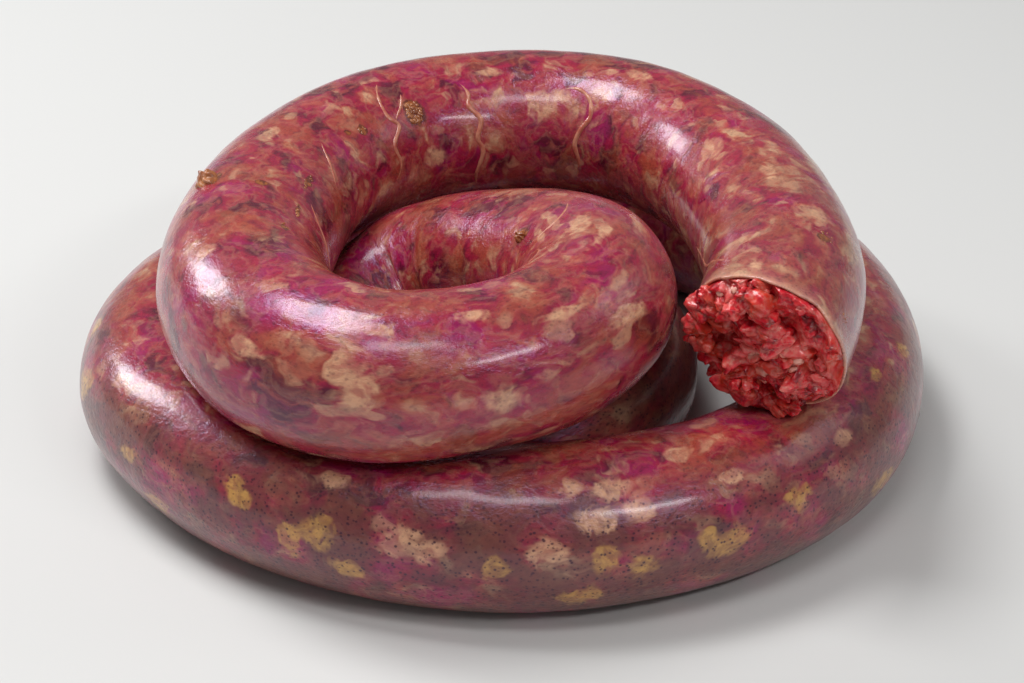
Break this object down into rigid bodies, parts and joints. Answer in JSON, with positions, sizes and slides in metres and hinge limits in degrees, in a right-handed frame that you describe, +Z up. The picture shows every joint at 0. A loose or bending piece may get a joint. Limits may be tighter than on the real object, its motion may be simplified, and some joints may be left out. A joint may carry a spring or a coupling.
{
  "type": "fresh sausage coil",
  "caption": "Raw fresh sausage in one unbroken rope, wound into a flat outer ring with a smaller turn lying on it, cut open at both ends.",
  "frame": {"origin": "centre of the coil's outline, on the surface it rests on", "axes": "+Z up; -Y towards the side where the upper cut end faces; +X towards the side that end lies on"},
  "size_m": [0.1912, 0.1906, 0.0688],
  "materials": {
    "casing": "thin translucent natural skin, wet gloss, red meat and pale fat marbled under it",
    "mince": "coarse raw mince, moist, bright red with pale fat bits"
  },
  "bodies": {
    "root": {"casing": "casing", "filling": "mince"}
  },
  "joints": []
}
